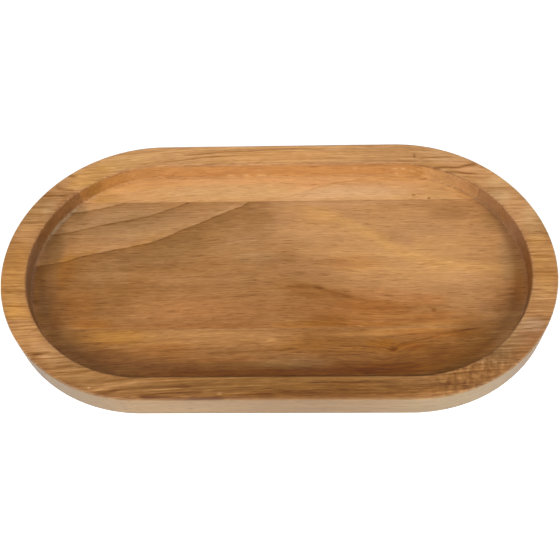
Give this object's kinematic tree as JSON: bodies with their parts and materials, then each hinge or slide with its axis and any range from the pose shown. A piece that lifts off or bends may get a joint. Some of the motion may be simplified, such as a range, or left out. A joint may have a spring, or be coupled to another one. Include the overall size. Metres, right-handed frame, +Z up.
{
  "type": "serving tray",
  "caption": "Low wooden serving tray with straight sides and half-round ends, routed from an edge-glued panel of staves, with a raised rim round a shallow flat well.",
  "frame": {"origin": "centre of the underside, on the surface that the tray stands on", "axes": "+X along the tray's length and the wood's grain, +Y from the narrower stave in front to the light stave at the back, +Z up out of the well"},
  "size_m": [0.33, 0.18, 0.02],
  "materials": {
    "back_wood": "satin oiled hardwood, light golden tan",
    "centre_wood": "satin oiled hardwood, mid brown with a pink cast",
    "front_wood": "satin oiled hardwood, golden brown with darker streaks"
  },
  "bodies": {
    "root": {"back_stave": "back_wood", "centre_stave": "centre_wood", "front_stave": "front_wood"}
  },
  "joints": []
}
